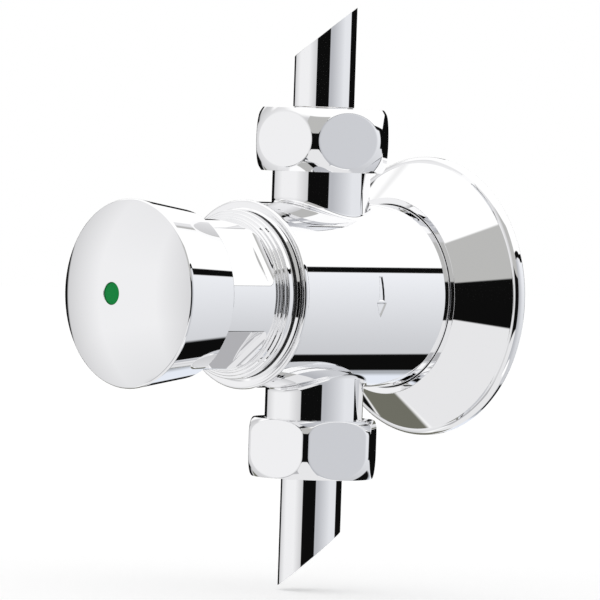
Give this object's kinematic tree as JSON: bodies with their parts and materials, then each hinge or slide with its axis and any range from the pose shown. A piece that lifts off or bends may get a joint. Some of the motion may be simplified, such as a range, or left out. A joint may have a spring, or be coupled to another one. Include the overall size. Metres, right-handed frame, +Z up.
{
  "type": "urinal flush valve",
  "caption": "Self-closing urinal flush valve: chromed barrel with a flared push button, a sliding wall rosette, and union nuts holding a supply tube above and a flush tube below.",
  "frame": {"origin": "centre of the wall face, on the valve axis", "axes": "+Y into the wall along the valve axis, push button toward -Y; +Z up along the tubes; +X to the right seen from the button"},
  "size_m": [0.0648, 0.0988, 0.1331],
  "materials": {
    "chrome_body": "polished chrome plate on cast brass",
    "chrome_turned": "polished chrome plate on turned brass",
    "chrome_nut": "polished chrome plate",
    "chrome_tube": "polished chrome plate on copper tube",
    "brass": "machined, unplated",
    "rubber": "black moulded nitrile",
    "fibre": "red vulcanised fibre",
    "green_plastic": "moulded green plastic",
    "spring_steel": "drawn stainless wire",
    "steel_rod": "ground stainless bar",
    "zinc_plate": "zinc-plated steel"
  },
  "bodies": {
    "housing": {"valve_body": "chrome_body", "bonnet": "chrome_turned", "bonnet_gasket": "rubber", "seat_ring": "brass", "cylinder_cap": "brass", "stem_seal": "rubber", "return_spring": "spring_steel", "supply_nut": "chrome_nut", "supply_pipe": "chrome_tube", "supply_collar": "brass", "supply_washer": "fibre", "flush_nut": "chrome_nut", "flush_pipe": "chrome_tube", "flush_collar": "brass", "flush_washer": "fibre", "wall_bracket": "zinc_plate", "bracket_stud": "zinc_plate", "bracket_locknut": "zinc_plate"},
    "plunger": {"push_button": "chrome_turned", "button_insert": "green_plastic", "stem": "steel_rod", "stem_locknut": "brass", "piston": "brass", "piston_seal": "rubber", "piston_clips": "spring_steel", "clapper_holder": "brass", "clapper_washer": "rubber", "clapper_nut": "brass"},
    "rosette": {"wall_flange": "chrome_turned", "flange_oring": "rubber"}
  },
  "joints": [
    {"name": "button_slide", "type": "slide", "parent": "housing", "child": "plunger", "axis": [0, 1, 0], "range_m": [0, 0.008], "stiffness_N_per_m": 1200, "springref_m": -0.01, "deforming": ["return_spring"]},
    {"name": "rosette_slide", "type": "slide", "parent": "housing", "child": "rosette", "axis": [0, -1, 0], "range_m": [0, 0.008]}
  ]
}
